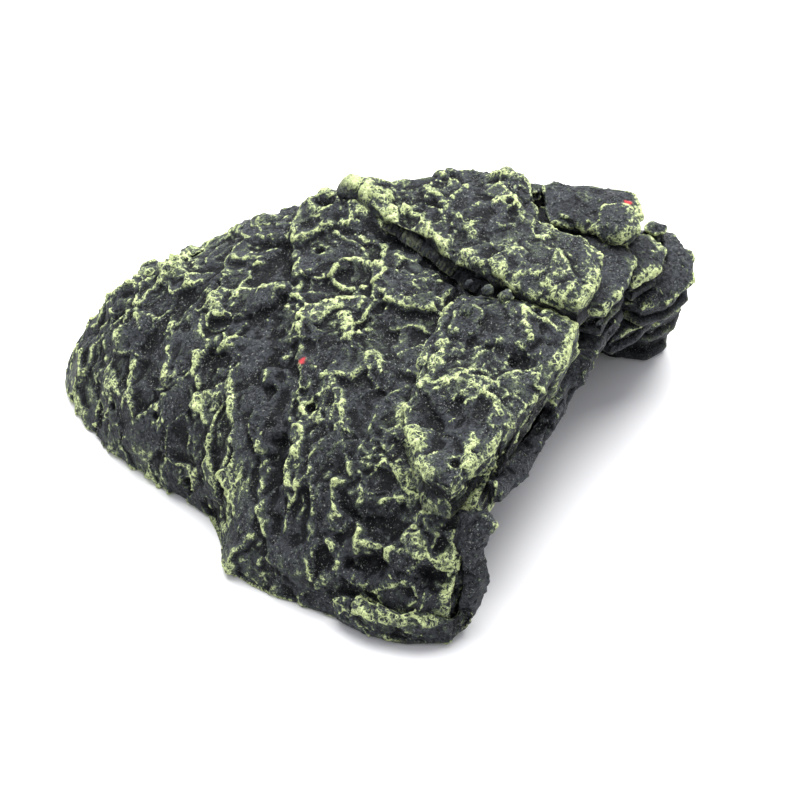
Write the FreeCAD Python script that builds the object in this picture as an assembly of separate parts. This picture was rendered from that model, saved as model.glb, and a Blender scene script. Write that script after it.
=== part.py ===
"""Resin cave ornament: a hollow rock casting with an arched mouth, and the rock slabs bonded round that mouth.

Frame, in millimetres: +Z up, the ornament stands on z = 0. The mouth faces -Y, the spur at the back runs to +Y,
and +X is to the right of someone who looks into the mouth. Every stone is a closed solid with flat facets.
"""
import FreeCAD
import Part
import math
import os
import random

# ---- driving dimensions -------------------------------------------------------------------------
MOUTH_FACE_Y = -34.0        # plane of the casting's front face, around the mouth
WALL = 8.0                  # resin thickness of the side walls
ROOF = 9.0                  # resin thickness of the roof
PROFILE_STEPS = 18          # facets across the casting, from its left foot to its right foot
CAVITY_STEPS = 14           # the same for the cavity
FACET_RELIEF = 0.7          # how far a facet's corner stands off the smooth form
BASE_DROP = 6.0             # the cavity cutter runs this far below the base and out of the mouth

# Stations of the casting, from the mouth to the tip of the spur:
# (y, left foot x, right foot x, crest x, crest height, fullness of the arch)
STATIONS = [
    (MOUTH_FACE_Y, -46.0, 74.0, 50.0, 42.5, 3.1),
    (-24.0, -50.0, 79.0, 53.0, 43.5, 2.7),
    (-10.0, -51.0, 81.0, 55.0, 44.5, 2.35),
    (6.0, -50.5, 81.0, 53.0, 45.5, 2.15),
    (20.0, -46.5, 77.0, 47.0, 45.5, 2.0),
    (36.0, -38.0, 68.0, 38.0, 44.0, 2.0),
    (52.0, -30.5, 57.0, 28.0, 38.5, 2.0),
    (68.0, -26.0, 43.0, 17.0, 31.5, 2.0),
    (82.0, -17.5, 31.0, 10.0, 22.0, 2.1),
    (91.0, -9.5, 15.0, 3.0, 10.0, 2.2),
]
SPUR_TIP = (0.0, 96.0)

# Stations of the cavity: (y, left x, right x, crest x, crest height, fullness)
CAVITY = [
    (MOUTH_FACE_Y, -37.0, 62.0, 20.0, 29.0, 2.6),
    (-20.0, -41.0, 70.0, 34.0, 36.0, 2.4),
    (-4.0, -41.5, 72.0, 40.0, 37.5, 2.2),
    (14.0, -38.0, 69.0, 38.0, 36.5, 2.1),
    (32.0, -29.0, 60.0, 30.0, 34.0, 2.0),
    (50.0, -21.0, 46.0, 20.0, 29.0, 2.0),
    (66.0, -16.0, 30.0, 10.0, 19.0, 2.0),
    (76.0, -9.0, 17.0, 4.0, 9.0, 2.0),
]
CAVITY_END = (3.0, 81.0)


# ---- faceted forms ------------------------------------------------------------------------------
def vector(x, y, z):
    return FreeCAD.Vector(x, y, z)


def triangle(a, b, c):
    return Part.Face(Part.makePolygon([a, b, c, a]))


def band(ring_a, ring_b):
    """Facets between two open rows of points that run the same way; a doubled corner leaves its triangle out."""
    faces = []
    for a, b, c, d in zip(ring_a, ring_a[1:], ring_b[1:], ring_b):
        for corners in ((a, b, c), (a, c, d)):
            sides = [(corners[i] - corners[i - 1]).Length for i in range(3)]
            if min(sides) > 1e-6:
                faces.append(triangle(*corners))
    return faces


def solid_of(faces):
    """A closed solid, its normals outwards, from facets that share their edges."""
    solid = Part.makeSolid(Part.makeShell(faces))
    if solid.Volume < 0:
        solid.reverse()
    return solid


def arch(station, steps):
    """Points (x, z) of a superellipse arch, from the left foot over the crest to the right foot."""
    _, left, right, crest, height, fullness = station
    points = []
    for i in range(steps + 1):
        angle = math.pi * i / steps
        side = crest - left if angle < math.pi / 2 else right - crest
        across = math.copysign(abs(math.cos(angle)) ** (2 / fullness), -math.cos(angle))
        points.append((crest + side * across, height * math.sin(angle) ** (2 / fullness)))
    points[0], points[-1] = (left, 0.0), (right, 0.0)
    return points


def arched_skin(stations, end, steps, foot_z, relief, seed):
    """Rows of points, one for each station, then the point where the skin closes on the ground."""
    spread = random.Random(seed)
    rows = []
    for number, station in enumerate(stations):
        row = []
        for i, (x, z) in enumerate(arch(station, steps)):
            if i in (0, steps):
                row.append(vector(x, station[0], foot_z))
                continue
            free = relief if number else 0.0
            dx, dy, dz = (spread.uniform(-free, free) for _ in range(3))
            row.append(vector(x + dx, station[0] + dy, max(z + dz, 0.4)))
        rows.append(row)
    return rows, vector(end[0], end[1], foot_z)


def arched_solid(stations, end, steps, foot_z, relief, seed):
    """A closed arch-shaped body that stands on z = foot_z, flat at its first station and pointed at its end."""
    rows, tip = arched_skin(stations, end, steps, foot_z, relief, seed)
    faces = []
    for row, behind in zip(rows, rows[1:]):
        faces += band(row, behind)
    last = rows[-1]
    faces += [triangle(a, b, tip) for a, b in zip(last, last[1:])]
    front = rows[0]
    faces.append(Part.Face(Part.makePolygon(front + [front[0]])))
    outline = [row[0] for row in rows] + [tip] + [row[-1] for row in reversed(rows)]
    faces.append(Part.Face(Part.makePolygon(outline + [outline[0]])))
    return solid_of(faces)


def slab(outline, bottom, top, slope=(0.0, 0.0), bevel=1.6, crown=0.8, seed=1):
    """A flat stone: outline seen from above, its edge bevelled above and below, its faces a little crowned.
    slope is the rise of the whole slab for each millimetre along x and along y, about its middle."""
    spread = random.Random(seed)
    middle_x = sum(p[0] for p in outline) / len(outline)
    middle_y = sum(p[1] for p in outline) / len(outline)

    def lifted(x, y, z):
        return vector(x, y, max(z + slope[0] * (x - middle_x) + slope[1] * (y - middle_y), 0.0))

    def ring(inset, z):
        points = []
        for x, y in outline:
            reach = math.hypot(x - middle_x, y - middle_y)
            scale = max(0.2, 1 - inset / reach)
            wander = spread.uniform(-0.35, 0.35) if z > 0 else 0.0
            points.append(lifted(middle_x + (x - middle_x) * scale, middle_y + (y - middle_y) * scale, z + wander))
        return points + [points[0]]

    rings = [ring(bevel * 1.2, bottom), ring(0, bottom + bevel), ring(0, top - bevel), ring(bevel * 1.5, top)]
    low, high = lifted(middle_x, middle_y, bottom), lifted(middle_x, middle_y, top + crown)
    faces = [triangle(a, b, low) for a, b in zip(rings[0], rings[0][1:])]
    for lower, upper in zip(rings, rings[1:]):
        faces += band(lower, upper)
    faces += [triangle(a, b, high) for a, b in zip(rings[-1], rings[-1][1:])]
    return solid_of(faces)


def boulder(centre, size, seed, sides=9, layers=5):
    """A rounded stone: a squashed ball of facets whose corners wander by a twelfth of its size."""
    spread = random.Random(seed)
    cx, cy, cz = centre
    rings = []
    for layer in range(1, layers):
        tilt = math.pi * layer / layers
        ring = []
        for side in range(sides):
            turn = 2 * math.pi * (side + 0.5 * (layer % 2)) / sides
            grow = 1 + spread.uniform(-1, 1) / 12
            ring.append(vector(cx + size[0] / 2 * grow * math.sin(tilt) * math.cos(turn),
                               cy + size[1] / 2 * grow * math.sin(tilt) * math.sin(turn),
                               cz - size[2] / 2 * grow * math.cos(tilt)))
        rings.append(ring + [ring[0]])
    low, high = vector(cx, cy, cz - size[2] / 2), vector(cx, cy, cz + size[2] / 2)
    faces = [triangle(a, b, low) for a, b in zip(rings[0], rings[0][1:])]
    for lower, upper in zip(rings, rings[1:]):
        faces += band(lower, upper)
    faces += [triangle(a, b, high) for a, b in zip(rings[-1], rings[-1][1:])]
    return solid_of(faces)


def ledge(path, seed):
    """A long stone that follows a path of (x, y, z, half depth in y, half height) along the mouth's edge."""
    spread = random.Random(seed)
    corners = 7
    rings = []
    for i, (x, y, z, deep, tall) in enumerate(path):
        before, after = path[max(i - 1, 0)], path[min(i + 1, len(path) - 1)]
        run_x, run_z = after[0] - before[0], after[2] - before[2]
        length = math.hypot(run_x, run_z)
        across_x, across_z = -run_z / length, run_x / length
        ring = []
        for corner in range(corners):
            turn = 2 * math.pi * corner / corners
            grow = 1 + spread.uniform(-0.1, 0.1)
            out, up = deep * grow * math.sin(turn), tall * grow * math.cos(turn)
            ring.append(vector(x + across_x * up, y - out, z + across_z * up))
        rings.append(ring + [ring[0]])
    first, last = (vector(*path[end][:3]) for end in (0, -1))
    faces = [triangle(a, b, first) for a, b in zip(rings[0], rings[0][1:])]
    for ring, following in zip(rings, rings[1:]):
        faces += band(ring, following)
    faces += [triangle(a, b, last) for a, b in zip(rings[-1], rings[-1][1:])]
    return solid_of(faces)


# ---- the casting --------------------------------------------------------------------------------
def cave_shell():
    """The hollow casting: the arch-shaped body less its cavity, which is open at the mouth and underneath."""
    body = arched_solid(STATIONS, SPUR_TIP, PROFILE_STEPS, 0.0, FACET_RELIEF, seed=11)
    opened = [(MOUTH_FACE_Y - BASE_DROP,) + CAVITY[0][1:]] + CAVITY
    cavity = arched_solid(opened, CAVITY_END, CAVITY_STEPS, -BASE_DROP, 0.0, seed=12)
    return body.cut(cavity)


# ---- the bonded stones --------------------------------------------------------------------------
def roof_slab():
    outline = [(42, 34), (32, 21), (27.5, 7), (21.5, -6), (19.5, -15), (18, -24), (18, -37), (28, -38.5),
               (37, -34), (42, -27), (45, -17), (59, -9), (63, 3), (56, 19)]
    return slab(outline, 40, 50.5, slope=(0.03, -0.10), bevel=1.8, seed=21)


def brow_slab():
    outline = [(-38, -30), (-38, -22), (-22, -10), (0, -6), (16, -7), (18, -15), (17, -24), (17, -37.5),
               (4, -38), (-10, -36.5), (-24, -34.5)]
    return slab(outline, 34, 44.5, slope=(0.14, -0.02), bevel=1.6, seed=22)


def arch_ledge():
    path = [(-29, -34, 31, 4.0, 3.0), (-17, -35, 28.5, 4.5, 3.5), (-4, -35.2, 28, 4.5, 3.6),
            (9, -35.5, 29, 4.5, 3.6), (22, -36, 31, 4.5, 3.8), (34, -37, 31.5, 4.5, 3.6),
            (44, -37.5, 29.5, 4.0, 3.0)]
    return ledge(path, seed=23)


def jamb_ledge():
    path = [(-41.5, -33, 2.5, 3.6, 3.4), (-40.5, -34.2, 8, 4.2, 3.8), (-39, -35, 15, 4.8, 3.8),
            (-38, -33.8, 24, 4.2, 3.4), (-35, -33.5, 31, 3.8, 3.0)]
    return ledge(path, seed=24)


def foot_ledge():
    outline = [(-52, -8), (-53.5, -16), (-52.5, -26), (-47.5, -34), (-41, -37), (-39, -31), (-42, -18), (-44, -8)]
    return slab(outline, 0, 9, bevel=1.4, seed=25)


def pillar_top_block():
    outline = [(47, -18), (61, -11), (66, -21), (67, -32), (60, -38), (50, -35)]
    return slab(outline, 39, 50, slope=(0.0, 0.03), bevel=1.8, seed=31)


def pillar_plate_upper():
    outline = [(34, -20), (47, -20), (54, -25), (54, -33), (47, -40.5), (37, -41.5), (25, -41), (24, -34)]
    return slab(outline, 36, 46, slope=(0.0, 0.04), bevel=1.6, seed=32)


def pillar_plate_middle():
    outline = [(46, -30), (58, -31), (63, -38.5), (59, -44.5), (52, -45.5), (43, -42)]
    return slab(outline, 33.5, 41.5, slope=(0.03, 0.05), bevel=1.5, seed=33)


def pillar_plate_lower():
    outline = [(58, -30), (75, -31), (78, -41), (71, -48.5), (62, -52), (53, -50), (46, -44), (47, -34)]
    return slab(outline, 23.5, 33, slope=(0.02, 0.04), bevel=1.8, seed=34)


def pillar_plate_inner():
    outline = [(42, -30), (58, -30), (63, -40), (59, -46), (48, -44), (40, -39)]
    return slab(outline, 18, 25.5, slope=(0.05, 0.02), bevel=1.5, seed=35)


def pillar_base_plate():
    outline = [(60, -28), (75, -28), (78, -39), (75, -47.5), (66, -48.5), (58, -44), (56, -36)]
    return slab(outline, 9.5, 19, slope=(0.0, 0.02), bevel=1.6, seed=36)


def pillar_foot():
    outline = [(62, -26), (75, -26), (78, -36), (75, -45), (69, -46.5), (62, -43), (60, -36)]
    return slab(outline, 0, 11.5, bevel=1.6, seed=37)


def pillar_knobs():
    """Two round stones: one on the upper plate, one at the pillar's outer end."""
    return [boulder((54, -32.5, 47.0), (14, 12, 10), seed=41), boulder((66, -39.5, 36.5), (12, 11, 12), seed=42)]


def crest_knobs():
    """Small stones that stand on the crest, seen against the sky from the front left."""
    return [boulder((62, -9, 45.0), (9, 8, 9), seed=44), boulder((44, 37, 42.3), (11, 8, 6), seed=43),
            boulder((31, 52, 38.0), (8, 7, 5), seed=45), boulder((21, 68, 30.3), (8, 8, 6), seed=46),
            boulder((15, 77, 25.2), (8, 7, 6), seed=47)]


def crevice_pebbles():
    """Four pebbles bonded in the crevice under the roof slab's near edge."""
    places = [((16.6, -14.5, 48.2), (3.4, 3.4, 3.0)), ((16.0, -19, 48.2), (3.2, 3.4, 3.0)),
              ((9.0, -12.6, 47.0), (3.4, 3.2, 3.0)), ((17.6, -9.6, 48.0), (2.8, 2.6, 2.6))]
    return [boulder(centre, size, seed=51 + n, sides=7, layers=4) for n, (centre, size) in enumerate(places)]


# ---- fitting the stones to each other and writing them ------------------------------------------
def seated(stone, neighbours):
    """The stone with its neighbours' volume taken out, so that they meet face to face; crumbs are dropped."""
    near = [n for n in neighbours if n.BoundBox.intersect(stone.BoundBox)]
    if near:
        stone = stone.cut(near)
    solids = sorted(stone.Solids, key=lambda s: s.Volume)
    return solids[-1]


def main():
    pieces = {"cave_shell": [cave_shell().Solids[0]]}
    bonded = [
        ("pillar_foot", pillar_foot), ("pillar_base_plate", pillar_base_plate),
        ("pillar_plate_inner", pillar_plate_inner), ("pillar_plate_lower", pillar_plate_lower),
        ("pillar_plate_middle", pillar_plate_middle), ("pillar_plate_upper", pillar_plate_upper),
        ("pillar_top_block", pillar_top_block), ("brow_slab", brow_slab), ("roof_slab", roof_slab),
        ("foot_ledge", foot_ledge), ("jamb_ledge", jamb_ledge), ("arch_ledge", arch_ledge),
        ("pillar_knobs", pillar_knobs), ("crest_knobs", crest_knobs), ("crevice_pebbles", crevice_pebbles),
    ]
    for name, make in bonded:
        made = make()
        stones = made if isinstance(made, list) else [made]
        placed = [solid for solids in pieces.values() for solid in solids]
        pieces[name] = [seated(stone, placed) for stone in stones]
    outer = Part.makeCompound([solid for solids in pieces.values() for solid in solids]).BoundBox
    to_origin = vector(-outer.Center.x, -outer.Center.y, -outer.ZMin)
    print(f"middle of the footprint at {outer.Center.x:.3f}, {outer.Center.y:.3f}, lowest point {outer.ZMin:.4f}")
    os.makedirs("parts", exist_ok=True)
    for name, solids in pieces.items():
        shape = solids[0] if len(solids) == 1 else Part.makeCompound(solids)
        shape = shape.translated(to_origin)
        shape.exportStep(f"parts/{name}.step")
        volume = sum(s.Volume for s in solids)
        print(f"{name}: {len(solids)} solid(s), {len(shape.Faces)} faces, {volume / 1000:.2f} cm3, "
              f"valid {all(s.isValid() and s.isClosed() for s in solids)}")


main()
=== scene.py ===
"""Resin cave ornament: the looks of the painted casting and of the stones bonded on it.

Lengths are in millimetres, in the part's own frame, until a mesh is written in metres.
"""
import math
import bpy
import numpy as np
from mathutils import Matrix, Vector
from mathutils.bvhtree import BVHTree


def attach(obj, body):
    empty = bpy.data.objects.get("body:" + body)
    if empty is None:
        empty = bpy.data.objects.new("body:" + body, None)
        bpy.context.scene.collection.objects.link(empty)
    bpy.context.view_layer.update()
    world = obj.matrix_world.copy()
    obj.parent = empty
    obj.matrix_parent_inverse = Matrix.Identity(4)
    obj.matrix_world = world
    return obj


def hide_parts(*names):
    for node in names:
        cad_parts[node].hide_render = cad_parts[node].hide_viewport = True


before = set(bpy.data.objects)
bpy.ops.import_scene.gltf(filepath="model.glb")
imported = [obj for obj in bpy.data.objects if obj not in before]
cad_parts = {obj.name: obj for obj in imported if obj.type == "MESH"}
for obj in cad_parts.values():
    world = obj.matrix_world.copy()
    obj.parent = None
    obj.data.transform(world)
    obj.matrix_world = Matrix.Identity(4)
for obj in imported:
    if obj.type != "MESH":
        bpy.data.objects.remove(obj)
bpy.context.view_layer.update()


# ---- The hollow casting -------------------------------------------------------------------------
# One shell of charcoal polyester resin, cast in a rubber mould taken from a carved rock, then rubbed with a
# nearly dry brush of lime paint. Its outside is scalloped into shallow plates with raised rims; the flank on
# the left is finer and runs downhill, and the inside is as the resin flowed.
GRAIN_SEED = 7


def dice(cells, salt):
    """A repeatable random number from 0 to 1 for each row of whole-number cell indices."""
    whole = cells.astype(np.int64).astype(np.uint64)
    mixed = whole[:, 0] * np.uint64(73856093)
    mixed ^= whole[:, 1] * np.uint64(19349663)
    mixed ^= whole[:, 2] * np.uint64(83492791)
    mixed ^= np.uint64(salt * 2654435761 + 1013)
    mixed = (mixed ^ (mixed >> np.uint64(29))) * np.uint64(0xBF58476D1CE4E5B9)
    mixed = (mixed ^ (mixed >> np.uint64(32))) * np.uint64(0x94D049BB133111EB)
    return ((mixed >> np.uint64(40)) & np.uint64(0xFFFFF)).astype(np.float64) / 0xFFFFF


def swell(points, size, salt=0):
    """Smooth gradient noise from about -1 to 1 whose bumps are size millimetres apart."""
    scaled = points / size + 100.5
    corner = np.floor(scaled)
    inside = scaled - corner
    ease = inside ** 3 * (inside * (inside * 6 - 15) + 10)
    total = np.zeros(len(points))
    for step in np.ndindex(2, 2, 2):
        step = np.array(step, float)
        near = corner + step
        offset = inside - step
        lean = sum((dice(near, salt * 8 + axis + GRAIN_SEED) * 2 - 1) * offset[:, axis] for axis in range(3))
        weight = np.prod(np.where(step > 0, ease, 1 - ease), axis=1)
        total += weight * lean
    return total * 1.6


def drift(points, size, salt):
    """Three swells at once: a smooth random shift of each point."""
    return np.stack([swell(points, size, salt + 11 * axis) for axis in range(3)], axis=1)


def facets(points, size, salt, ramp, slope=1.1):
    """Chipped faces about size across, each at its own height and tilt; also how near the edge of a face is.

    Heights run from about -0.5 to 0.5, and two faces meet in a step ramp millimetres wide.
    """
    scaled = points / size + 50.5
    home = np.floor(scaled)
    best = np.full(len(points), 9.0)
    second = np.full(len(points), 9.0)
    own = np.zeros(len(points))
    other = np.zeros(len(points))
    for step in np.ndindex(3, 3, 3):
        cell = home + np.array(step, float) - 1
        lean = scaled - cell - np.stack([dice(cell, salt * 5 + axis) for axis in range(3)], axis=1)
        gap = np.linalg.norm(lean, axis=1)
        mark = dice(cell, salt * 5 + 3)
        tilt = np.stack([mark * 61 % 1, mark * 997 % 1, mark * 7919 % 1], axis=1) * 2 - 1
        height = mark - 0.5 + slope * np.einsum("ij,ij->i", lean, tilt) * 0.5
        closer = gap < best
        runner = ~closer & (gap < second)
        second = np.where(closer, best, np.where(runner, gap, second))
        other = np.where(closer, own, np.where(runner, height, other))
        best = np.where(closer, gap, best)
        own = np.where(closer, height, own)
    rim = (second - best) * size
    inner = 0.5 + 0.5 * between(0, ramp, rim)
    return own * inner + other * (1 - inner), rim


def between(low, high, value):
    """0 below low, 1 above high, a smooth ramp between."""
    share = np.clip((value - low) / (high - low), 0, 1)
    return share * share * (3 - 2 * share)


def crests(points, size, salt):
    """Thin sharp crests that wander over the surface, 1 on the line and 0 away from it."""
    return np.clip(1 - 5.0 * np.abs(swell(points, size, salt)), 0, 1)


def rock_relief(points, wild=1.0):
    """How far the carved rock stands out from the plain form at each point, in millimetres.

    The broad faces and chips are scaled by wild; the fine skin is the same everywhere.
    """
    bent = points + 3.6 * drift(points, 15, 3) + 1.3 * drift(points, 4, 5)
    broad, rim = facets(bent, 14, 1, 1.0)
    ridge = np.exp(-(rim / 0.7) ** 2) * between(-0.15, 0.35, swell(points, 9, 9))
    bent = points + 1.9 * drift(points, 5.5, 7) + 0.7 * drift(points, 2, 8)
    chips, chip_rim = facets(bent, 6.0, 2, 0.5)
    chip_ridge = np.exp(-(chip_rim / 0.45) ** 2) * between(-0.15, 0.35, swell(points, 11, 13))
    flakes, _ = facets(points + 0.9 * drift(points, 2.5, 37), 2.6, 6, 0.4)
    torn = crests(points + 0.5 * drift(points, 1.6, 14), 4.2, 15) + 0.7 * crests(points, 2.2, 16)
    grain = swell(points, 1.4, 17) * 0.3 + swell(points, 2.6, 19) * 0.3
    rough = between(-0.35, 0.45, swell(points, 8, 39))
    fine = (0.15 + 0.85 * rough) * (0.55 * flakes + 0.3 * torn + 0.6 * grain)
    coarse = swell(points, 24, 21) + 2.2 * broad + 0.8 * ridge + 1.3 * chips + 0.5 * chip_ridge - 0.6
    return wild * coarse + fine


def flank_relief(points):
    """The finer relief of the left flank: narrow ribs and grooves that run downhill."""
    downhill = np.array([-0.62, 0.0, -0.78])
    along = points @ downhill
    drawn = points - 0.5 * along[:, None] * downhill
    steps, rim = facets(drawn + 2.4 * drift(points, 9, 23) + 0.8 * drift(points, 3, 24), 7.0, 4, 0.6)
    ribs = np.exp(-(rim / 0.6) ** 2) * between(-0.25, 0.3, swell(points, 8, 41))
    flakes, _ = facets(drawn + 0.9 * drift(points, 3, 43), 3.0, 8, 0.4)
    torn = crests(drawn, 3.6, 25) + 0.6 * crests(drawn, 1.9, 26)
    fine = (0.3 + 0.7 * between(-0.35, 0.45, swell(points, 8, 42))) * (0.7 * flakes + 0.4 * torn)
    return 0.8 * swell(points, 20, 29) + 0.8 * ribs + 2.0 * steps + fine - 0.6


# The carver's marks on top of the all-over relief, given in plan. Each has its corners (x, y), half its width,
# its height (a groove is below zero) and how heavily the brush loaded it with paint.
ROOF_MARKS = [
    ([(27, 2), (23, -9), (12, -22)], 1.5, 1.4, 0.8),      # left edge of the roof slab
    ([(20, -4)], 2.6, 2.4, 1.2),                          # the lump on it
    ([(18, 2), (15, -12), (5, -38)], 2.4, -2.4, -1.6),    # the crevice below it
    ([(26, -15), (35, -17)], 1.3, 1.3, 0.9),
    ([(28, -22), (34, -30), (28, -36)], 1.3, 1.2, 0.8),
    ([(26, -18), (18, -27)], 1.2, 1.3, 0.7),
    ([(12, -28), (6, -42)], 2.4, 0.9, 0.9),
    ([(30, -25)], 8.0, -0.3, -0.5),
    ([(27, 8)], 5.5, 5.0, 0.1),                           # lumps that step the crest
    ([(22, 17)], 5.0, 4.6, 0.2),
    ([(43, -24)], 5.0, 3.2, 0.1),
]
BROW_MARKS = [
    ([(0, -47), (-8, -52)], 1.1, 1.0, 0.8),
    ([(0, -48), (-2, -56)], 1.1, 1.0, 0.8),
    ([(-25, -46), (-30, -54)], 1.1, 1.1, 0.7),
    ([(-28, -35), (-24, -42), (-14, -42)], 1.5, 1.2, 0.6),
    ([(-31, -31), (-44, -41)], 2.2, 1.8, 0.9),            # the pale lump, and the dark bowl beside it
    ([(-37, -43)], 5.0, -2.2, -0.9),
    ([(-38, -50), (-45, -52)], 1.3, 1.0, 0.7),
]
DOME_MARKS = [
    ([(-19, -15), (-24, -26), (-20, -35), (0, -28)], 1.5, 1.3, 0.5),    # near rim of the broad dish
    ([(-10, -24)], 6.0, -0.9, -0.5),                      # its bowl
    ([(-5, 0), (-16, -10)], 1.2, 1.1, 0.5),
    ([(-7, -8), (-14, -8)], 0.9, 0.8, 0.3),
    ([(-24, -4), (-31, -12)], 1.2, 0.9, 0.3),
    ([(-12, 9), (-17, 4)], 2.0, 1.4, 0.8),
    ([(-28, -11), (-36, -19), (-46, -25)], 1.0, 1.2, 0.5),
    ([(-38, -6), (-46, -11)], 1.0, 1.1, 0.2),
    ([(-30, -22)], 6.0, -0.4, -0.7),
    ([(8, 22), (-30, 1), (-50, -7), (-64, -17)], 3.2, -2.0, -0.6),      # the valley below the dome
    ([(-12, 16), (-35, 3), (-59, -15)], 4.5, -0.5, -0.9),
    ([(3, 13), (-20, 1), (-40, -9), (-56, -17)], 1.0, 1.3, 0.5),        # the ridge beside it
]
NEAR_FOOT_MARKS = [
    ([(-48, -20), (-50, -30), (-49, -38)], 1.3, 1.5, 0.5),
    ([(-53, -26), (-54, -48)], 1.3, -1.1, -0.3),
    ([(-45, -37), (-48, -40)], 2.0, 1.0, 0.9),
    ([(-57, -33), (-56, -52)], 1.2, 1.1, 0.5),            # the lip over the dark slot
    ([(-60, -31), (-58, -52)], 1.6, -2.6, -1.0),          # the slot
    ([(-63, -37), (-61, -44)], 2.0, 0.5, 0.9),            # pale foot below it
    ([(-67, -38), (-63, -52)], 1.8, 0.4, 0.9),
    ([(-62, -3)], 5.0, 2.4, 0.0),
    ([(-51, -59)], 3.0, 4.2, 0.3),                        # the jamb's knuckle
]
FAR_FLANK_MARKS = [
    ([(-24, 43)], 4.0, -2.4, -0.9),                       # pits
    ([(-17, 62)], 3.0, -1.8, -0.9),
    ([(-22, 52)], 3.0, 1.6, 0.8),                         # lumps
    ([(0, 46)], 3.2, 1.5, 0.8),
    ([(-8, 56)], 6.5, 5.0, 0.0),
    ([(-2, 46)], 5.5, 4.2, 0.1),
    ([(-9, 32), (-16, 26)], 1.3, 1.1, 0.8),
]


def fan_of_ribs(count, first_foot, spacing, run, width, height, paint):
    """Ribs that run down the flank side by side, each from run above its foot."""
    ribs = []
    for number in range(count):
        foot_x = first_foot[0] + number * spacing[0]
        foot_y = first_foot[1] + number * spacing[1]
        middle = (foot_x + 0.5 * run[0], foot_y + 0.3 * run[1])
        ribs.append(([(foot_x + run[0], foot_y + run[1]), middle, (foot_x, foot_y)], width, height, paint))
    return ribs


def ring(centre, radii, corners=12):
    """The corners of a closed oval."""
    turns = [2 * math.pi * number / corners for number in range(corners + 1)]
    return [(centre[0] + radii[0] * math.cos(turn), centre[1] + radii[1] * math.sin(turn)) for turn in turns]


MARKS = ROOF_MARKS + BROW_MARKS + DOME_MARKS + NEAR_FOOT_MARKS + FAR_FLANK_MARKS
MARKS += fan_of_ribs(6, (-26, 54), (-6.5, -12), (20, 8), 1.3, 1.3, 0.7)           # far flank
MARKS += fan_of_ribs(4, (-58, -14), (-0.5, -6), (11, 4), 1.0, 1.1, 0.4)           # near flank, by the foot
MARKS += [(ring((3, -3), (4.5, 6.5)), 1.0, 1.5, 0.9), (ring((-61, -25), (2.5, 3.5)), 1.0, 0.8, 0.1)]
PORES = [(-35, -9), (-36, 46), (-34, 52), (-38, 31), (-30, -44), (-46, -50), (2, -50), (-14, -50), (33, -30),
         (8, 10)]
CHERRY_SPECKS = [(-25, -2), (48, -55)]
HEM_HEIGHT = 4.0        # where a mark lies that runs past the plain form's foot


def plain_form():
    """All the CAD nodes as one surface that a falling line can be met with."""
    corners = []
    faces = []
    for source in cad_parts.values():
        first = len(corners)
        corners += [source.matrix_world @ vertex.co for vertex in source.data.vertices]
        faces += [[first + corner for corner in polygon.vertices] for polygon in source.data.polygons]
    return BVHTree.FromPolygons(corners, faces)


PLAIN_FORM = plain_form()


def on_the_rock(x, y):
    """The point of the plain form's upper side at a place seen from above."""
    where = PLAIN_FORM.ray_cast(Vector((x / 1000, y / 1000, 1.0)), Vector((0, 0, -1)))[0]
    return (x, y, where.z * 1000 if where else HEM_HEIGHT)


def distance_to_path(points, path):
    """How far each point is from a path of corners; a path of one corner is a spot."""
    corners = np.array(path, float)
    if len(corners) == 1:
        return np.linalg.norm(points - corners[0], axis=1)
    nearest = np.full(len(points), 1e9)
    for start, end in zip(corners, corners[1:]):
        run = end - start
        share = np.clip((points - start) @ run / (run @ run), 0, 1)
        nearest = np.minimum(nearest, np.linalg.norm(points - start - share[:, None] * run, axis=1))
    return nearest


MARKS = [([on_the_rock(*corner) for corner in path], *rest) for path, *rest in MARKS]
PORES = [on_the_rock(*pore) for pore in PORES]
CHERRY_SPECKS = [on_the_rock(*speck) for speck in CHERRY_SPECKS]


def marks_at(points):
    """The marks' height at each point, and the paint they carry there."""
    height = np.zeros(len(points))
    load = np.zeros(len(points))
    loose = points + 1.1 * drift(points, 5, 45) + 0.5 * drift(points, 1.8, 47)
    uneven = 0.75 + 0.6 * swell(points, 3.5, 49)
    for path, width, tall, paint in MARKS:
        profile = np.exp(-(distance_to_path(loose, path) / width) ** 2)
        height += tall * profile * uneven
        load += paint * profile
    for pore in PORES:
        profile = np.exp(-(distance_to_path(points, [pore]) / 1.1) ** 4)
        height -= 1.6 * profile
        load += 0.5 * np.exp(-((distance_to_path(points, [pore]) - 1.6) / 0.5) ** 2) - 1.5 * profile
    return height, load


def off_table(points, normals):
    """1 where the surface may move, 0 on the flat rim that rests on the table."""
    return np.maximum(between(0.0, 1.4, points[:, 2]), between(-0.7, -0.3, normals[:, 2]))


def flow_relief(points):
    """The inside of the casting: soft runs and sags, without paint."""
    return 0.7 * swell(points, 14, 31) + 0.3 * swell(points, 6, 33) + 0.1 * swell(points, 2.4, 35)


def remeshed(node, voxel):
    """A copy of a CAD node's form as an even skin of small faces, in a new object that stands for it."""
    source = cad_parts[node]
    mesh = source.data.copy()
    mesh.transform(source.matrix_world)
    piece = bpy.data.objects.new(f"{node}_rock", mesh)
    bpy.context.scene.collection.objects.link(piece)
    weld = piece.modifiers.new("weld", "WELD")
    weld.merge_threshold = 0.00002
    skin = piece.modifiers.new("skin", "REMESH")
    skin.mode = "VOXEL"
    skin.voxel_size = voxel / 1000
    skin.adaptivity = 0
    evaluated = piece.evaluated_get(bpy.context.evaluated_depsgraph_get())
    even = bpy.data.meshes.new_from_object(evaluated)
    piece.modifiers.clear()
    piece.data = even
    even.materials.clear()
    return piece


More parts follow.
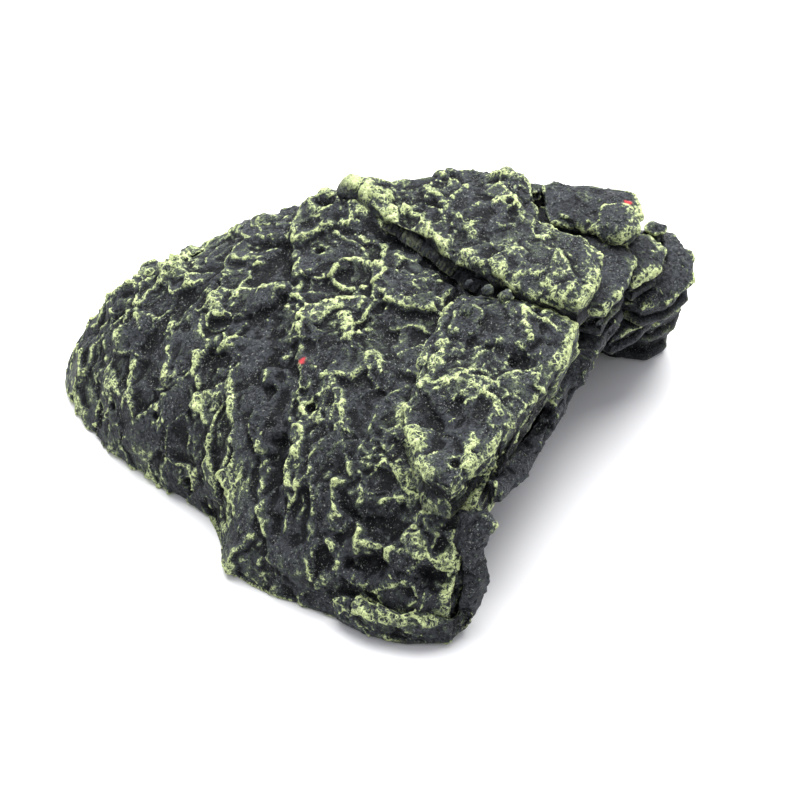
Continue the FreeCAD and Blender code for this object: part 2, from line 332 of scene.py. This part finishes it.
def grid_of(piece):
    """A piece's points, its edges as pairs of point numbers, and how many edges meet at each point."""
    mesh = piece.data
    points = np.empty(len(mesh.vertices) * 3)
    mesh.vertices.foreach_get("co", points)
    pairs = np.empty(len(mesh.edges) * 2, dtype=np.int64)
    mesh.edges.foreach_get("vertices", pairs)
    pairs = pairs.reshape(-1, 2)
    meeting = np.bincount(pairs.ravel(), minlength=len(mesh.vertices))
    return points.reshape(-1, 3) * 1000, pairs, np.maximum(meeting, 1)


def relaxed(values, pairs, share, rounds):
    """Values at the points, each replaced rounds times by the average of its neighbours."""
    for _ in range(rounds):
        columns = []
        for column in values.T:
            total = np.bincount(pairs[:, 0], column[pairs[:, 1]], len(values))
            total += np.bincount(pairs[:, 1], column[pairs[:, 0]], len(values))
            columns.append(total / share)
        values = np.stack(columns, axis=1)
    return values


def set_points(piece, points):
    """Writes points in millimetres into a piece."""
    piece.data.vertices.foreach_set("co", (points / 1000).ravel())
    piece.data.update()


def outward(piece):
    """The outward direction at each point of a piece."""
    directions = np.empty(len(piece.data.vertices) * 3)
    piece.data.vertices.foreach_get("normal", directions)
    return directions.reshape(-1, 3)


def note(piece, name, values):
    """Keeps a number for each point of the piece, for its material to read."""
    layer = piece.data.attributes.new(name, "FLOAT", "POINT")
    layer.data.foreach_set("value", np.ascontiguousarray(values, dtype=np.float32))


def finish_rock(piece, points, pairs, share, paint, load):
    """Writes the carved points, and how far each stands proud of what is around it: what a dry brush touches,
    and, where it lies sunk, where painted shade darkens the resin.

    Paint is 1 where the brush could reach and 0 where it couldn't; load is how heavy the coat is.
    """
    set_points(piece, points)
    normals = outward(piece)
    close = relaxed(points, pairs, share, 3)
    broad = relaxed(close, pairs, share, 40)
    raised_close = np.einsum("ij,ij->i", points - close, normals)
    raised_broad = np.einsum("ij,ij->i", points - broad, normals)
    note(piece, "raised", raised_close)
    note(piece, "proud", raised_broad)
    note(piece, "paint", paint)
    note(piece, "load", load)
    cherry = [distance_to_path(points, [speck]) for speck in CHERRY_SPECKS]
    note(piece, "cherry", between(1.3, 0.7, np.min(cherry, axis=0)))
    for face in piece.data.polygons:
        face.use_smooth = True


def thinned(piece, plain, share):
    """Drops a piece to a share of its faces, mostly where plain is 1 and where the surface is flat."""
    group = piece.vertex_groups.new(name="plain")
    for level in range(5):
        group.add(np.flatnonzero(np.round(plain * 4) == level).tolist(), max(level / 4, 0.12), "REPLACE")
    fewer = piece.modifiers.new("fewer", "DECIMATE")
    fewer.ratio = share
    fewer.vertex_group = "plain"
    fewer.vertex_group_factor = 2.0
    evaluated = piece.evaluated_get(bpy.context.evaluated_depsgraph_get())
    piece.data = bpy.data.meshes.new_from_object(evaluated)
    piece.modifiers.clear()
    piece.vertex_groups.clear()


# (y, x) of the middle of the hollow, from the mouth to the spur
HOLLOW_LINE = [(-56, 38), (-44, 39.5), (-16, 39), (14, 24), (30, 14), (46, 3.5), (60, -4), (74, -13)]
HOLLOW_HEIGHT = 4.0

MOUTH_PLANE = -54.0        # the painted corner where the outside turns into the mouth's face
HEM_BENDS = [((-51, 15), 11, (2.9, -1.2)), ((-61, -6), 11, (-2.3, 1.2))]    # (centre, reach, push)
SHELL_VOXEL = 0.56
SHELL_FACES_KEPT = 0.54

shell = remeshed("cave_shell", SHELL_VOXEL)
spots, links, degree = grid_of(shell)
spots = relaxed(spots, links, degree, 3)
for centre, reach, push in HEM_BENDS:
    near = np.exp(-(distance_to_path(spots[:, :2], [centre]) / reach) ** 2) * between(24, 3, spots[:, 2])
    spots[:, :2] += near[:, None] * np.array(push)
set_points(shell, spots)
facing = outward(shell)
middle = spots.copy()
middle[:, 0] = np.interp(spots[:, 1], *zip(*HOLLOW_LINE))
middle[:, 2] = HOLLOW_HEIGHT
away = spots - middle
away /= np.linalg.norm(away, axis=1)[:, None]
outside = between(-0.35, -0.05, np.einsum("ij,ij->i", facing, away))
outside = np.maximum(outside, between(0.55, 0.8, -facing[:, 1]))
flank = between(-14, -26, spots[:, 0] + 0.35 * (spots[:, 1] + 10)) * between(-40, -10, spots[:, 1])
flank = np.maximum(flank, between(24, 44, spots[:, 1]) * between(30, -10, spots[:, 0]))
relief = rock_relief(spots) * (1 - flank) + flank_relief(spots) * flank
carved, loaded = marks_at(spots)
mouth_edge = np.exp(-((spots[:, 1] - MOUTH_PLANE) / 2.2) ** 2) * between(-0.85, -0.6, facing[:, 1])
relief = (relief + carved + 0.8 * mouth_edge) * outside + flow_relief(spots) * (1 - outside)
spots = spots + facing * (relief * off_table(spots, facing))[:, None]
spots[:, 2] = np.maximum(spots[:, 2], 0.0)
finish_rock(shell, spots, links, degree, outside, loaded + mouth_edge - 0.2)
thinned(shell, 1 - outside, SHELL_FACES_KEPT)


# The two paints share one look: charcoal resin with a broken coat of lime on what the brush could reach.
def add_node(tree, kind, label, **values):
    """A shader node with its label and its settings; names with spaces are given with underscores."""
    made = tree.nodes.new(kind)
    made.label = label
    for name, value in values.items():
        setattr(made, name, value)
    return made


def maths(tree, operation, first, second=None, third=None, clamp=False):
    """A Math node fed with sockets or plain numbers; gives its output socket."""
    made = tree.nodes.new("ShaderNodeMath")
    made.operation = operation
    made.use_clamp = clamp
    for slot_number, value in enumerate((first, second, third)):
        if value is None:
            continue
        if isinstance(value, (int, float)):
            made.inputs[slot_number].default_value = value
        else:
            tree.links.new(value, made.inputs[slot_number])
    return made.outputs[0]


def ramp_between(tree, low, high, value):
    """A smooth ramp from 0 at low to 1 at high."""
    made = tree.nodes.new("ShaderNodeMapRange")
    made.interpolation_type = "SMOOTHSTEP"
    tree.links.new(value, made.inputs["Value"])
    made.inputs["From Min"].default_value = low
    made.inputs["From Max"].default_value = high
    return made.outputs["Result"]


def tint(tree, share, first, second):
    """Mixes two colours; each is a socket or a plain colour."""
    made = tree.nodes.new("ShaderNodeMix")
    made.data_type = "RGBA"
    tree.links.new(share, made.inputs["Factor"])
    for name, value in (("A", first), ("B", second)):
        socket = next(s for s in made.inputs if s.name == name and s.type == "RGBA")
        if isinstance(value, tuple):
            socket.default_value = (*value, 1)
        else:
            tree.links.new(value, socket)
    return next(s for s in made.outputs if s.type == "RGBA")


def mottle(tree, place, spacing, detail=3.0, rough=0.55):
    """Noise from 0 to 1 with bumps spacing millimetres apart."""
    made = tree.nodes.new("ShaderNodeTexNoise")
    made.inputs["Scale"].default_value = 1 / spacing
    made.inputs["Detail"].default_value = detail
    made.inputs["Roughness"].default_value = rough
    tree.links.new(place, made.inputs["Vector"])
    return made.outputs[0]


def kept(tree, name):
    """A number kept at the points of the piece."""
    made = tree.nodes.new("ShaderNodeAttribute")
    made.attribute_name = name
    return made.outputs["Fac"]


def new_group(name, inputs, outputs):
    """An empty shader node group; inputs are (name, kind, starting value) and outputs (name, kind)."""
    tree = bpy.data.node_groups.new(name, "ShaderNodeTree")
    for label, kind, start in inputs:
        tree.interface.new_socket(label, in_out="INPUT", socket_type=kind).default_value = start
    for label, kind in outputs:
        tree.interface.new_socket(label, in_out="OUTPUT", socket_type=kind)
    return tree, tree.nodes.new("NodeGroupInput"), tree.nodes.new("NodeGroupOutput")


def place_in_mm(tree):
    """Where a point lies on its piece, in millimetres."""
    where = tree.nodes.new("ShaderNodeTexCoord")
    scaled = tree.nodes.new("ShaderNodeVectorMath")
    scaled.operation = "SCALE"
    scaled.inputs["Scale"].default_value = 1000
    tree.links.new(where.outputs["Object"], scaled.inputs[0])
    return scaled.outputs[0]


def rock_grain_group():
    """The fine skin of the cast rock: torn crests, a web of hairline ridges and sand-fine grain."""
    tree, _, out = new_group("rock_grain", [], [("Height", "NodeSocketFloat"), ("Line", "NodeSocketFloat")])
    place = place_in_mm(tree)
    web = tree.nodes.new("ShaderNodeTexVoronoi")
    web.feature = "DISTANCE_TO_EDGE"
    web.inputs["Scale"].default_value = 1 / 2.3
    sway = tree.nodes.new("ShaderNodeTexNoise")
    sway.inputs["Scale"].default_value = 1 / 1.7
    sway.inputs["Detail"].default_value = 3
    shift = tree.nodes.new("ShaderNodeVectorMath")
    shift.operation = "MULTIPLY_ADD"
    shift.inputs[1].default_value = (2.6, 2.6, 2.6)
    tree.links.new(place, sway.inputs["Vector"])
    tree.links.new(sway.outputs["Color"], shift.inputs[0])
    tree.links.new(place, shift.inputs[2])
    tree.links.new(shift.outputs[0], web.inputs["Vector"])
    hairline = ramp_between(tree, 0.11, 0.02, web.outputs["Distance"])
    torn = maths(tree, "ABSOLUTE", maths(tree, "SUBTRACT", mottle(tree, place, 2.2, 4.0, 0.6), 0.5))
    torn = ramp_between(tree, 0.055, 0.0, torn)
    sand = mottle(tree, place, 0.85, 6.0, 0.78)
    height = maths(tree, "MULTIPLY_ADD", hairline, 0.22, maths(tree, "MULTIPLY", torn, 0.22))
    height = maths(tree, "MULTIPLY_ADD", sand, 0.75, height)
    tree.links.new(height, out.inputs["Height"])
    tree.links.new(maths(tree, "MAXIMUM", hairline, torn), out.inputs["Line"])
    return tree


ROCK_GRAIN = rock_grain_group()


def dry_brush_group():
    """Where the nearly dry brush left paint: full coats on proud rims, broken lines and specks beside."""
    tree, given, out = new_group(
        "dry_brush",
        [("Load", "NodeSocketFloat", 0.0), ("Speckle", "NodeSocketFloat", 1.0)],
        [("Coat", "NodeSocketFloat"), ("Thickness", "NodeSocketFloat")])
    place = place_in_mm(tree)
    grain = add_node(tree, "ShaderNodeGroup", "fine skin", node_tree=ROCK_GRAIN)
    raised = maths(tree, "MULTIPLY", kept(tree, "raised"), 2.6)
    proud = maths(tree, "MULTIPLY", kept(tree, "proud"), 0.45)
    height = maths(tree, "ADD", raised, proud)
    patch = maths(tree, "MULTIPLY_ADD", mottle(tree, place, 7.0, 2.0), 2.0, -1.0)
    region = maths(tree, "MULTIPLY_ADD", mottle(tree, place, 19.0, 1.0), 2.0, -1.0)
    reach = maths(tree, "MULTIPLY_ADD", patch, 0.95, maths(tree, "MULTIPLY_ADD", region, 0.9, height))
    reach = maths(tree, "ADD", reach, given.outputs["Load"])
    reach = maths(tree, "MULTIPLY_ADD", kept(tree, "load"), 0.68, reach)
    skin = maths(tree, "SUBTRACT", grain.outputs["Height"], 0.44)
    skin = maths(tree, "MULTIPLY", skin, given.outputs["Speckle"])
    near = ramp_between(tree, 0.0, 0.8, reach)
    skin = maths(tree, "MULTIPLY", skin, maths(tree, "MULTIPLY_ADD", near, 3.4, 1.2))
    ragged = maths(tree, "ADD", skin, reach)
    coat = ramp_between(tree, 1.22, 1.34, ragged)
    holes = ramp_between(tree, 0.40, 0.46, mottle(tree, place, 0.55, 4.0, 0.7))
    coat = maths(tree, "MULTIPLY", coat, holes)
    streak = maths(tree, "MULTIPLY", grain.outputs["Line"], ramp_between(tree, 0.55, 0.85, maths(
        tree, "MULTIPLY_ADD", near, 0.4, mottle(tree, place, 3.0, 3.0))))
    coat = maths(tree, "MAXIMUM", coat, maths(tree, "MULTIPLY", streak, maths(tree, "MULTIPLY", near, 0.9)))
    level = maths(tree, "MULTIPLY_ADD", near, 0.13, mottle(tree, place, 0.62, 4.0, 0.7))
    specks = ramp_between(tree, 0.66, 0.69, level)
    coat = maths(tree, "MAXIMUM", coat, maths(tree, "MULTIPLY", specks, 0.75))
    coat = maths(tree, "MULTIPLY", coat, kept(tree, "paint"), clamp=True)
    tree.links.new(coat, out.inputs["Coat"])
    tree.links.new(ramp_between(tree, 0.8, 1.9, ragged), out.inputs["Thickness"])
    return tree


# Painted shade: the near black that the resin is darkened towards where it lies sunk in hollows and creases.
PAINTED_HOLLOW_SHADE = (0.004, 0.0044, 0.0054)
# Pale specks: partly dust, and partly painted glints that stand in for the resin's sheen catching the light.
DUST_AND_GLINT = (0.30, 0.32, 0.29)
CHERRY = (0.55, 0.06, 0.07)


def resin_group():
    """Cast resin under the paint: two charcoals, painted shade that darkens the hollows, pale specks that are
    partly dust and partly painted glints, and the cherry specks of stray paint.
    """
    tree, given, out = new_group(
        "charcoal_resin",
        [("Dark", "NodeSocketColor", (0.01, 0.01, 0.012, 1)),
         ("Grey", "NodeSocketColor", (0.05, 0.05, 0.055, 1))],
        [("Colour", "NodeSocketColor"), ("Dull", "NodeSocketFloat")])
    place = place_in_mm(tree)
    cloud = mottle(tree, place, 9.0, 4.0, 0.6)
    fine = mottle(tree, place, 0.8, 5.0, 0.75)
    patchy = maths(tree, "MULTIPLY_ADD", fine, 0.75, maths(tree, "MULTIPLY", cloud, 0.25))
    share = ramp_between(tree, 0.36, 0.64, patchy)
    # Painted shade: where a point lies sunk below what is around it, in hollows and creases, the resin's
    # colour is darkened towards near black.
    hollow = ramp_between(tree, 0.12, -0.45, maths(tree, "ADD", kept(tree, "proud"), kept(tree, "raised")))
    colour = tint(tree, share, given.outputs["Dark"], given.outputs["Grey"])
    colour = tint(tree, maths(tree, "MULTIPLY", hollow, 0.88), colour, PAINTED_HOLLOW_SHADE)
    # Pale specks on the bare resin: partly dust, and partly painted glints where the glossy resin would catch
    # the light.
    dust_and_glint = ramp_between(tree, 0.60, 0.64, mottle(tree, place, 0.5, 4.0, 0.7))
    dust_and_glint = maths(tree, "MULTIPLY", dust_and_glint, ramp_between(tree, 0.32, 0.62, mottle(tree, place, 5.0, 3.0)))
    dust_and_glint = maths(tree, "MULTIPLY", dust_and_glint, kept(tree, "paint"))
    colour = tint(tree, maths(tree, "MULTIPLY", dust_and_glint, 0.9), colour, DUST_AND_GLINT)
    colour = tint(tree, kept(tree, "cherry"), colour, CHERRY)
    tree.links.new(colour, out.inputs["Colour"])
    tree.links.new(cloud, out.inputs["Dull"])
    return tree


DRY_BRUSH = dry_brush_group()
RESIN = resin_group()
LIME_THIN = (0.33, 0.385, 0.235)
LIME_FULL = (0.71, 0.80, 0.40)
LIME_WORN = (0.32, 0.38, 0.17)
HAZE = (0.12, 0.155, 0.095)
CHARCOAL_DARK = (0.0038, 0.0044, 0.0058, 1)
CHARCOAL_GREY = (0.060, 0.065, 0.074, 1)
GRAIN_DEPTH = 0.0009


def painted_resin(name, load=0.0, speckle=1.0, haze=0.4):
    """Charcoal resin with a dry-brushed coat of lime."""
    material = bpy.data.materials.new(name)
    material.use_nodes = True
    tree = material.node_tree
    shader = tree.nodes["Principled BSDF"]
    shader.inputs["IOR"].default_value = 1.5
    shader.inputs["Specular IOR Level"].default_value = 0.1
    brush = add_node(tree, "ShaderNodeGroup", "dry brush", node_tree=DRY_BRUSH)
    brush.inputs["Load"].default_value = load
    brush.inputs["Speckle"].default_value = speckle
    wash = add_node(tree, "ShaderNodeGroup", "thin wash", node_tree=DRY_BRUSH)
    wash.inputs["Load"].default_value = load + haze
    wash.inputs["Speckle"].default_value = 0.6
    resin = add_node(tree, "ShaderNodeGroup", "resin", node_tree=RESIN)
    resin.inputs["Dark"].default_value = CHARCOAL_DARK
    resin.inputs["Grey"].default_value = CHARCOAL_GREY
    grain = add_node(tree, "ShaderNodeGroup", "fine skin", node_tree=ROCK_GRAIN)
    hazed = tint(tree, maths(tree, "MULTIPLY", wash.outputs["Coat"], 0.45), resin.outputs["Colour"], HAZE)
    lime = tint(tree, brush.outputs["Thickness"], LIME_THIN, LIME_FULL)
    worn = ramp_between(tree, 0.56, 0.46, mottle(tree, place_in_mm(tree), 0.8, 4.0, 0.7))
    lime = tint(tree, maths(tree, "MULTIPLY", worn, 0.7), lime, LIME_WORN)
    colour = tint(tree, brush.outputs["Coat"], hazed, lime)
    tree.links.new(colour, shader.inputs["Base Color"])
    bare = maths(tree, "MULTIPLY_ADD", resin.outputs["Dull"], 0.34, 0.30)
    rough = maths(tree, "MULTIPLY_ADD", brush.outputs["Coat"], 0.22, bare, clamp=True)
    tree.links.new(rough, shader.inputs["Roughness"])
    height = maths(tree, "MULTIPLY_ADD", brush.outputs["Coat"], 0.12, grain.outputs["Height"])
    bump = add_node(tree, "ShaderNodeBump", "grain and paint film")
    bump.inputs["Strength"].default_value = 0.7
    bump.inputs["Distance"].default_value = GRAIN_DEPTH
    tree.links.new(height, bump.inputs["Height"])
    tree.links.new(bump.outputs["Normal"], shader.inputs["Normal"])
    return material


PAINTED = painted_resin("painted_resin")
shell.data.materials.append(PAINTED)
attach(shell, "root")
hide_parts("cave_shell")


# ---- The slabs over the mouth -------------------------------------------------------------------
# Two broad flat stones of the same resin, bonded on the roof with a deep crevice between them. Their rims
# stand proud, so the brush left its thickest coat there.
def sides_of(points, normals):
    """Three shares: on a plate's steep sides, on those sides below its lip, and along parts of the lip."""
    top, bottom = points[:, 2].max(), points[:, 2].min()
    below = (top - points[:, 2]) / (top - bottom) + 0.12 * swell(points, 6, 51)
    side = between(0.9, 0.55, np.abs(normals[:, 2]))
    edge = between(0.96, 0.82, normals[:, 2]) * between(-0.1, 0.25, normals[:, 2])
    edge *= between(0.3, -0.3, normals[:, 1]) * between(-0.45, 0.35, swell(points, 7, 53))
    return side, side * between(0.12, 0.75, below), edge


def bonded_stone(node, voxel, wild=1.0, lip=0.0, sunk=0.0, settled=0.0, load=0.0, bare=0.0, rim=0.0):
    """A stone that stands for its CAD node, carved, with its sides drawn back by lip below their upper edge.

    Its underside is let into what it rests on by sunk, and the whole stone by settled. It carries load more
    paint all over and rim more along its upper edge, and its sheltered sides lack the share bare.
    """
    piece = remeshed(node, voxel)
    points, pairs, share = grid_of(piece)
    points = relaxed(points, pairs, share, 3)
    set_points(piece, points)
    normals = outward(piece)
    under = between(-0.2, -0.7, normals[:, 2])
    carved, loaded = marks_at(points)
    side, sheltered, edge = sides_of(points, normals)
    relief = rock_relief(points, wild) + lip * (0.25 * side - sheltered) + carved + 0.3 * edge
    loaded += rim * edge
    points = points + normals * (relief * (1 - 0.6 * under) * off_table(points, normals))[:, None]
    points[:, 2] -= under * sunk + settled
    points[:, 2] = np.maximum(points[:, 2], 0.0)
    finish_rock(piece, points, pairs, share, 1 - np.maximum(0.8 * under, bare * sheltered), loaded + load)
    piece.data.materials.append(PAINTED)
    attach(piece, "root")
    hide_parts(node)
    return piece


bonded_stone("roof_slab", 0.5, wild=0.7, lip=1.5, sunk=2.0, load=-0.05, bare=1.0, rim=0.9)
bonded_stone("brow_slab", 0.5, wild=0.7, lip=1.5, sunk=2.0, load=-0.05, rim=1.0)


# ---- The mouth's ledges -------------------------------------------------------------------------
# Three narrow stones of the same resin, bonded inside and below the mouth's rim. The first two sit back under
# the brow, out of the brush's reach, and stay almost bare.
bonded_stone("arch_ledge", 0.45, wild=0.8, load=-1.2)
bonded_stone("jamb_ledge", 0.45, wild=0.8, load=-1.6)
bonded_stone("foot_ledge", 0.45, wild=0.8)


# ---- The stacked pillar -------------------------------------------------------------------------
# The right side of the mouth: a boulder with a column of flat stones bonded one on another, each with a thin
# lip that hangs over the one below. The brush caught only the lips.
for plate_node in ("pillar_foot", "pillar_base_plate", "pillar_plate_inner", "pillar_plate_lower",
                   "pillar_plate_middle", "pillar_plate_upper", "pillar_top_block", "pillar_knobs"):
    bonded_stone(plate_node, 0.45, wild=0.3, lip=3.2, load=-0.75, rim=0.9)


# ---- Crest stones and pebbles -------------------------------------------------------------------
# Small loose stones of the same resin: five bonded along the crest, and four pebbles dropped in the crevice.
bonded_stone("crest_knobs", 0.35, wild=0.7, settled=1.4)
bonded_stone("crevice_pebbles", 0.22, wild=0.2)


# ---- The table, the light and the camera --------------------------------------------------------
# White paper on a table, one large softbox above and behind, and the light that a white room gives back. The
# camera stands at arm's length and looks down over the left side of the mouth.
TARGET = Vector((-0.01375, -0.022, 0.022))
DISTANCE = 0.420
FOCAL_LENGTH = 79.38        # millimetres, a short telephoto lens
AZIMUTH, ELEVATION = math.radians(-65), math.radians(42)

back = Vector((math.sin(AZIMUTH) * math.cos(ELEVATION), -math.cos(AZIMUTH) * math.cos(ELEVATION),
               math.sin(ELEVATION)))
right = Vector((math.cos(AZIMUTH), math.sin(AZIMUTH), 0))
upward = back.cross(right)
camera_data = bpy.data.cameras.new("camera")
camera_data.lens = FOCAL_LENGTH
camera_data.clip_start = 0.01
camera = bpy.data.objects.new("camera", camera_data)
bpy.context.scene.collection.objects.link(camera)
camera.matrix_world = Matrix((
    (right.x, upward.x, back.x, TARGET.x + back.x * DISTANCE),
    (right.y, upward.y, back.y, TARGET.y + back.y * DISTANCE),
    (right.z, upward.z, back.z, TARGET.z + back.z * DISTANCE),
    (0, 0, 0, 1)))
bpy.context.scene.camera = camera

table = bpy.data.meshes.new("table")
table.from_pydata([(-3, -3, 0), (3, -3, 0), (3, 3, 0), (-3, 3, 0)], [], [(0, 1, 2, 3)])
floor = bpy.data.objects.new("table", table)
floor.location.z = -0.0002
bpy.context.scene.collection.objects.link(floor)
white = bpy.data.materials.new("white_paper")
white.use_nodes = True
white.node_tree.nodes["Principled BSDF"].inputs["Base Color"].default_value = (0.93, 0.93, 0.94, 1)
white.node_tree.nodes["Principled BSDF"].inputs["Roughness"].default_value = 0.9
table.materials.append(white)


def soft_light(name, place, size, power, aim=(0.0, 0.0, 0.02)):
    """A round soft light aimed at the ornament."""
    lamp = bpy.data.lights.new(name, "AREA")
    lamp.shape = "DISK"
    lamp.size = size
    lamp.energy = power
    holder = bpy.data.objects.new(name, lamp)
    holder.location = place
    holder.rotation_euler = (Vector(aim) - Vector(place)).to_track_quat("-Z", "Y").to_euler()
    bpy.context.scene.collection.objects.link(holder)


soft_light("softbox", (0.50, 0.18, 0.98), 1.4, 37.0)
world = bpy.data.worlds.new("room")
world.use_nodes = True
world.node_tree.nodes["Background"].inputs["Color"].default_value = (1.0, 1.005, 1.05, 1)
world.node_tree.nodes["Background"].inputs["Strength"].default_value = 0.66
bpy.context.scene.world = world
bpy.context.scene.view_settings.view_transform = "Standard"
bpy.context.scene.view_settings.look = "None"

bpy.context.view_layer.update()
